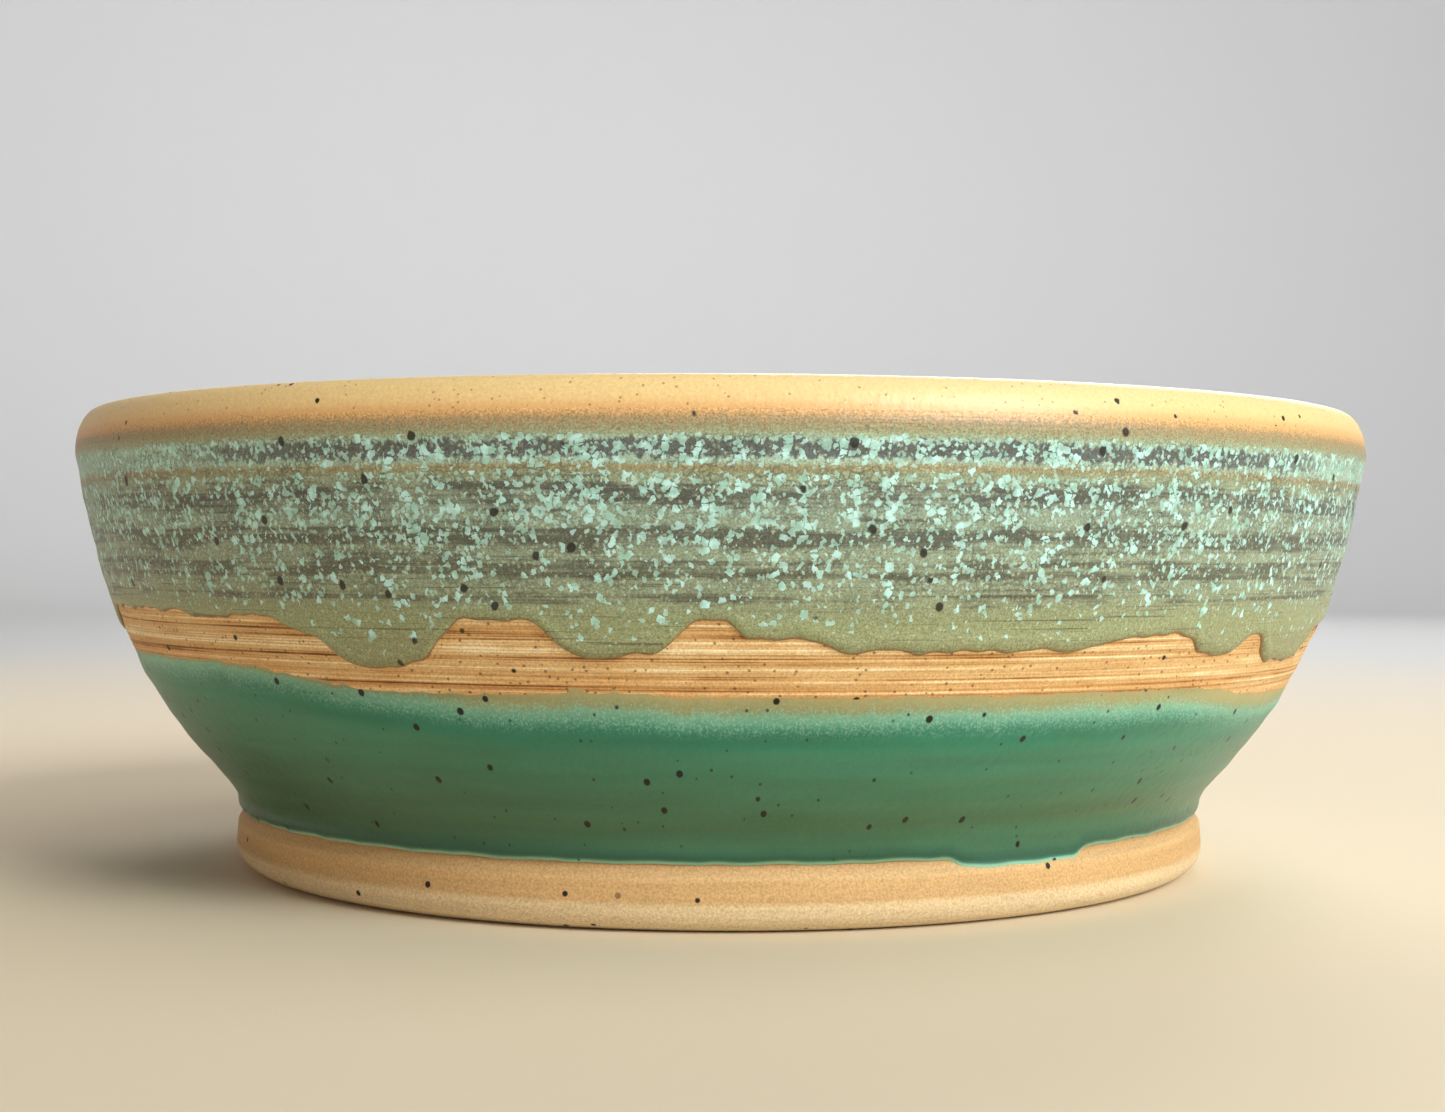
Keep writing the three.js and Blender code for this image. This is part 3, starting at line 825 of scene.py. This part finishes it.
def upper_glaze_material():
    """Sage glaze in level rings: charcoal where thick, aqua crystals, and a fibrous fade into the rim."""
    g = Graph("upper_glaze")
    around = g.around()
    fibres = g.noise(around, 2.2, 0.1, 2.0)
    fray = g.math("MULTIPLY", g.math("SUBTRACT", fibres, 0.5), g.band(g.height, 62.3, 64.4, 0.5))
    sway = g.math("SUBTRACT", g.noise(around, 0.035, 0.15, 1.0), 0.5)
    level = g.math("ADD", g.height, g.math("MULTIPLY", fray, 1.7))
    level = g.math("ADD", level, g.math("MULTIPLY", sway, g.step(g.height, 62, 59)))
    color = g.ramp(level, [
        (33.5, rgb(144, 142, 98)), (36.5, rgb(148, 151, 110)), (40, rgb(152, 160, 118)),
        (42, rgb(148, 156, 120)), (44.5, rgb(144, 156, 128)), (48.3, rgb(148, 162, 136)),
        (52.8, rgb(146, 164, 142)), (55.3, rgb(136, 148, 126)), (57.4, rgb(150, 162, 132)),
        (58.1, rgb(148, 150, 114)), (58.5, rgb(158, 142, 100)), (58.9, rgb(158, 172, 144)),
        (59.5, rgb(170, 198, 176)), (60.5, rgb(158, 188, 168)), (61.6, rgb(166, 196, 172)),
        (62.2, rgb(160, 172, 140)), (62.8, rgb(158, 154, 116)), (63.4, rgb(160, 146, 108)),
        (64.1, rgb(172, 146, 104)), (64.6, rgb(206, 162, 106)), (65.1, rgb(224, 176, 116)),
    ])
    rings = g.ramp(level, [
        (42.3, 0.0), (42.8, 0.55), (43.3, 0.5), (43.7, 0.05), (45, 0.15), (45.6, 0.75), (46.2, 0.85),
        (46.5, 0.45), (46.9, 0.95), (47.4, 0.6), (47.9, 0.05), (48.9, 0.15), (49.5, 0.7), (50.2, 1.0),
        (51.1, 0.8), (51.8, 0.15), (53.4, 0.05), (54.3, 0.5), (55.4, 0.6), (56.4, 0.45), (57.2, 0.0),
    ])
    streaks = g.noise(around, 0.03, 2.1, 3.0)
    blotches = g.noise(around, 0.14, 0.4, 3.0)
    uneven = g.math("ADD", g.math("MULTIPLY", g.math("SUBTRACT", streaks, 0.5), 2.6),
                    g.math("MULTIPLY", g.math("SUBTRACT", blotches, 0.5), 2.2))
    upper_half = g.band(g.height, 41.5, 57.8, 0.8)
    thick = g.math("ADD", rings, g.math("MULTIPLY", uneven, upper_half))
    thick = g.step(thick, 0.05, 1.0)
    charcoal = g.mix(g.step(g.height, 45, 56), rgb(92, 94, 78), rgb(80, 83, 78))
    color = g.mix(g.math("MULTIPLY", thick, 0.9), color, charcoal)

    scratches = g.step(g.noise(around, 0.05, 3.6, 3.0), 0.6, 0.68)
    low_down = g.band(g.height, 35.5, 48.5, 1.0)
    color = g.mix(g.math("MULTIPLY", g.math("MULTIPLY", scratches, low_down), 0.7), color, rgb(84, 82, 60))

    # Stripe under the rim, with pale runs down into it
    runs = g.math("MULTIPLY", g.math("SUBTRACT", g.noise(around, 1.3, 0.25, 2.0), 0.5), 2.4)
    stripe = g.band(g.math("ADD", g.height, runs), 59.55, 61.6, 0.25)
    patchy = g.math("ADD", g.noise(around, 0.5, 0.4, 2.0), g.math("MULTIPLY", g.fact("stripe"), 0.45))
    stripe = g.math("MULTIPLY", g.math("MULTIPLY", stripe, g.step(patchy, 0.56, 0.72)), g.fact("stripe"))
    color = g.mix(g.math("MULTIPLY", stripe, 0.92), color, rgb(88, 90, 90))

    # Small crystals: dark outlines round lighter middles
    below_fade = g.step(g.height, 62.8, 61.8)
    in_crystals = g.math("MULTIPLY", g.step(g.height, 40, 46), below_fade)
    bent_fine = g.swayed(around, 0.35, 2.0)
    fine_distance, fine_chance = g.cells(bent_fine, 0.62, 0.66)
    middles = g.math("MULTIPLY", g.step(fine_distance, 0.45, 0.25), g.step(fine_chance, 0.3, 1.0))
    middles = g.math("MULTIPLY", middles, in_crystals)
    color = g.mix(g.math("MULTIPLY", middles, 0.55), color, rgb(198, 210, 178))
    netting = g.step(g.cells(g.swayed(around, 0.4, 1.5), 0.95, 0.9, "DISTANCE_TO_EDGE"), 0.13, 0.02)
    netting = g.math("MULTIPLY", netting, g.math("MULTIPLY", in_crystals, g.step(blotches, 0.36, 0.6)))
    color = g.mix(g.math("MULTIPLY", netting, 0.6), color, rgb(78, 80, 66))
    grain = g.noise(around, 4.2, detail=2.0)
    color = g.shade(color, grain, 0.3, 0.7, 0.36)
    dots_distance, dots_chance = g.cells(g.swayed(around, 0.4, 1.0), 0.66, 0.62)
    dots = g.math("MULTIPLY", g.step(dots_distance, 0.36, 0.15), g.step(dots_chance, 0.5, 1.0))
    color = g.mix(g.math("MULTIPLY", g.math("MULTIPLY", dots, below_fade), 0.6), color, rgb(206, 218, 178))

    # Aqua crystals in clusters
    edge_free = g.step(g.fact("above_drip"), 0.8, 2.2)
    density = g.ramp(g.height, [
        (36, 0.0), (40, 0.12), (44, 0.26), (49, 0.42), (53, 0.62), (57.4, 0.55), (58.2, 0.08), (59.3, 0.6),
        (61.2, 0.74), (61.9, 0.62), (62.5, 0.0),
    ])
    density = g.math("MULTIPLY", density, edge_free)
    clusters = g.noise(around, 0.34, 0.26, 3.0)
    share = g.math("MULTIPLY", density, g.step(clusters, 0.32, 0.7))
    bent = g.swayed(around, 0.4, 2.4)
    _, big_chance = g.cells(bent, 0.9, 0.95)
    big_margin = g.cells(bent, 0.9, 0.95, "DISTANCE_TO_EDGE")
    big = g.math("MULTIPLY", g.math("LESS_THAN", big_chance, g.math("MULTIPLY", share, 0.6)),
                 g.step(big_margin, 0.02, 0.1))
    _, small_chance = g.cells(g.swayed(around, 0.3, 3.0), 0.5, 0.55)
    small_share = g.math("ADD", g.math("MULTIPLY", share, 0.36), g.math("MULTIPLY", density, 0.2))
    small = g.math("LESS_THAN", small_chance, small_share)
    aqua = g.mix(g.step(g.noise(around, 0.7, detail=2.0), 0.35, 0.65), rgb(162, 208, 190), rgb(202, 248, 242))
    color = g.mix(g.math("MULTIPLY", small, 0.7), color, aqua)
    color = g.mix(g.math("MULTIPLY", big, 0.9), color, aqua)

    # Dripped edge: a thin scorched outline
    outline = g.step(g.fact("above_drip"), 0.34, 0.1)
    color = g.mix(g.math("MULTIPLY", outline, 0.6), color, SCORCH)
    color = g.mix(g.math("MULTIPLY", g.step(g.fact("from_slot"), 1.6, 0.5), 0.8), color, rgb(170, 128, 80))
    spots = g.specks(g.swayed(around, 0.5, 0.9), 5.0, 0.66, 1.15)
    color = g.mix(g.math("MULTIPLY", spots, 0.95), color, rgb(34, 29, 20))
    crystal = g.math("MAXIMUM", big, small)
    roughness = g.ramp(crystal, [(0.0, 0.42), (1.0, 0.56)])
    peel = g.noise(g.point, 0.8, detail=2.0)
    bumps = [(streaks, 0.08), (fine_distance, 0.03), (crystal, 0.025), (spots, 0.05), (peel, 0.06)]
    return g.finish(color, roughness, bumps)


def lower_glaze_material():
    """Green glaze: a thin khaki top edge, a frosty aqua line, emerald, then deeper green down to the foot."""
    g = Graph("lower_glaze")
    around = g.around()
    frost = g.math("SUBTRACT", g.noise(around, 1.5, 1.1, 3.0), 0.5)
    sway = g.math("SUBTRACT", g.noise(around, 0.06, 0.2, 2.0), 0.5)
    uneven = g.math("ADD", g.math("MULTIPLY", frost, 1.1), g.math("MULTIPLY", sway, 0.9))
    down = g.math("ADD", g.fact("below_top"), uneven)
    thin = g.math("MULTIPLY", g.fact("khaki_thin"), g.step(g.fact("below_top"), 0.1, 0.9))
    down = g.math("ADD", down, thin)
    color = g.ramp(down, [
        (-0.6, rgb(190, 164, 112)), (0.6, rgb(174, 164, 114)), (1.6, rgb(158, 154, 106)),
        (2.2, rgb(142, 158, 118)), (2.7, rgb(126, 176, 146)), (3.4, rgb(106, 168, 144)),
        (4.1, rgb(76, 150, 124)), (5.0, rgb(46, 132, 106)), (6.4, rgb(44, 128, 100)),
        (8.0, rgb(64, 130, 102)), (12.0, rgb(66, 124, 94)), (16.0, rgb(66, 116, 84)),
        (20.0, rgb(64, 110, 80)),
    ])
    pool = g.ramp(g.fact("above_foot"), [
        (0, rgb(172, 216, 188)), (0.35, rgb(130, 186, 158)), (0.6, rgb(58, 110, 88)), (0.9, rgb(42, 90, 68)),
        (1.8, rgb(50, 98, 74)), (3.0, rgb(62, 108, 76)),
    ])
    color = g.mix(g.step(g.fact("above_foot"), 3.0, 1.6), color, pool)
    crystals = g.step(g.noise(around, 3.4, 3.0, 3.0), 0.46, 0.64)
    frosty = g.band(down, 1.4, 5.0, 1.1)
    color = g.mix(g.math("MULTIPLY", g.math("MULTIPLY", crystals, frosty), 0.5), color, rgb(160, 206, 180))
    washes = g.noise(around, 0.02, 0.4, 2.0)
    color = g.shade(color, washes, 0.3, 0.7, 0.12)
    olive = g.step(g.noise(around, 0.03, 0.1, 2.0), 0.45, 0.65)
    color = g.mix(g.math("MULTIPLY", olive, 0.25), color, rgb(222, 214, 180), "MULTIPLY")
    grain = g.noise(g.point, 4.5, detail=2.0)
    color = g.shade(color, grain, 0.3, 0.7, 0.07)
    freckle = g.specks(around, 2.5, 0.26)
    color = g.mix(g.math("MULTIPLY", freckle, 0.8), color, rgb(22, 30, 18))
    spots = g.specks(around, 4.0, 0.58)
    color = g.mix(spots, color, rgb(5, 4, 3))
    peel = g.noise(g.point, 0.7, detail=2.0)
    matt = g.math("ADD", down, g.math("MULTIPLY", grain, 1.5))
    roughness = g.ramp(matt, [(0, 0.55), (3, 0.5), (6.5, 0.34)])
    return g.finish(color, roughness, [(peel, 0.08), (washes, 0.06), (grain, 0.012), (spots, 0.04)])


def make_stage():
    """Pale floor that curves up into a wall all round, with the colour of linen near the bowl."""
    flat_to = 1.6
    wall_at = 2.6
    top = 3.0
    bend = wall_at - flat_to
    profile = [(radius, 0.0) for radius in (0.2, 0.5, 1.0, flat_to)]
    bend_steps = 16
    for k in range(1, bend_steps + 1):
        turn = math.pi / 2 * k / bend_steps
        profile.append((flat_to + bend * math.sin(turn), bend * (1 - math.cos(turn))))
    profile.append((wall_at, top))
    sides = 96
    turns = [2 * math.pi * k / sides for k in range(sides)]
    vertices = []
    for radius, z in profile:
        vertices += [(radius * math.sin(turn), -radius * math.cos(turn), z) for turn in turns]
    faces = [tuple(range(sides))]
    for ring in range(len(profile) - 1):
        for k in range(sides):
            low = ring * sides + k
            low_next = ring * sides + (k + 1) % sides
            faces.append((low, low + sides, low_next + sides, low_next))
    mesh = bpy.data.meshes.new("floor")
    mesh.from_pydata(vertices, [], faces)
    mesh.polygons.foreach_set("use_smooth", [True] * len(faces))
    floor = bpy.data.objects.new("floor", mesh)
    bpy.context.scene.collection.objects.link(floor)
    g = Graph("floor")
    far = g.step(g.radius(), 180, 900)
    g.put(g.shader.inputs["Base Color"], g.mix(far, rgb(227, 211, 184), rgb(211, 211, 211)))
    g.shader.inputs["Roughness"].default_value = 0.9
    mesh.materials.append(g.material)


def make_camera():
    distance = 339.6
    height = 48.4
    camera = bpy.data.objects.new("camera", bpy.data.cameras.new("camera"))
    camera.data.lens = 52.0
    camera.data.sensor_width = 36
    camera.data.clip_start = 0.01
    bpy.context.scene.collection.objects.link(camera)
    pan = math.radians(-0.063)
    tilt = math.radians(-0.069)
    roll = math.radians(0.252)
    camera.matrix_world = (
        Matrix.Translation((0, -distance * MM, height * MM))
        @ Matrix.Rotation(pan, 4, "Z")
        @ Matrix.Rotation(math.pi / 2 + tilt, 4, "X")
        @ Matrix.Rotation(roll, 4, "Z")
    )
    bpy.context.scene.camera = camera


def add_light(name, place_mm, target_mm, size_mm, power, spread, color):
    light = bpy.data.lights.new(name, "AREA")
    light.shape = "RECTANGLE"
    light.size = size_mm[0] * MM
    light.size_y = size_mm[1] * MM
    light.energy = power
    light.spread = math.radians(spread)
    light.color = color
    lamp = bpy.data.objects.new(name, light)
    lamp.location = Vector(place_mm) * MM
    lamp.rotation_euler = (Vector(target_mm) - Vector(place_mm)).to_track_quat("-Z", "Y").to_euler()
    lamp.visible_camera = False
    bpy.context.scene.collection.objects.link(lamp)


def make_lights():
    middle = (0, 0, 40)
    add_light("key", (1240, -1240, 1040), middle, (1000, 1000), 11.6, 90, (0.97, 1, 0.99))
    add_light("overhead", (700, 0, 1500), middle, (1200, 1200), 6, 180, (1, 1, 1))
    add_light("fill", (-1100, -610, 440), middle, (600, 600), 0.55, 180, (1, 0.45, 0.08))
    add_light("back", (390, 1450, 900), middle, (1000, 1000), 3.5, 80, (1, 1, 1))
    # Lamps over the bowl that wash the wall all round
    lamp_out = 700
    lamp_height = 2300
    aim_out = 2600
    aim_height = 500
    daylight = (0.97, 0.98, 1)
    for azimuth, power, color in (
        (180, 16, daylight), (90, 8, daylight), (0, 8, daylight), (270, 6, (1, 0.78, 0.55)),
    ):
        turn = math.radians(azimuth)
        out = np.array([math.sin(turn), -math.cos(turn), 0])
        place_mm = (*(lamp_out * out)[:2], lamp_height)
        target_mm = (*(aim_out * out)[:2], aim_height)
        add_light(f"wall_{azimuth}", place_mm, target_mm, (2400, 700), power, 100, color)
    world = bpy.data.worlds.new("studio")
    world.use_nodes = True
    world.node_tree.nodes["Background"].inputs["Color"].default_value = (1, 0.94, 0.82, 1)
    world.node_tree.nodes["Background"].inputs["Strength"].default_value = 0.05
    bpy.context.scene.world = world
    bpy.context.scene.view_settings.view_transform = "Standard"


make_camera()
body = make_body()
upper_glaze, liner_glaze = make_glazes()
lower_glaze = make_lower_glaze()
for piece, node, slot_name, material in (
    (body, "bowl_body", "stoneware", stoneware_material()),
    (liner_glaze, "liner_glaze", "liner_glaze", liner_material()),
    (upper_glaze, "upper_glaze", "upper_glaze", upper_glaze_material()),
    (lower_glaze, "lower_glaze", "lower_glaze", lower_glaze_material()),
):
    piece.data.materials.append(material)
    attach(piece, "root")
    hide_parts(node)
make_stage()
make_lights()
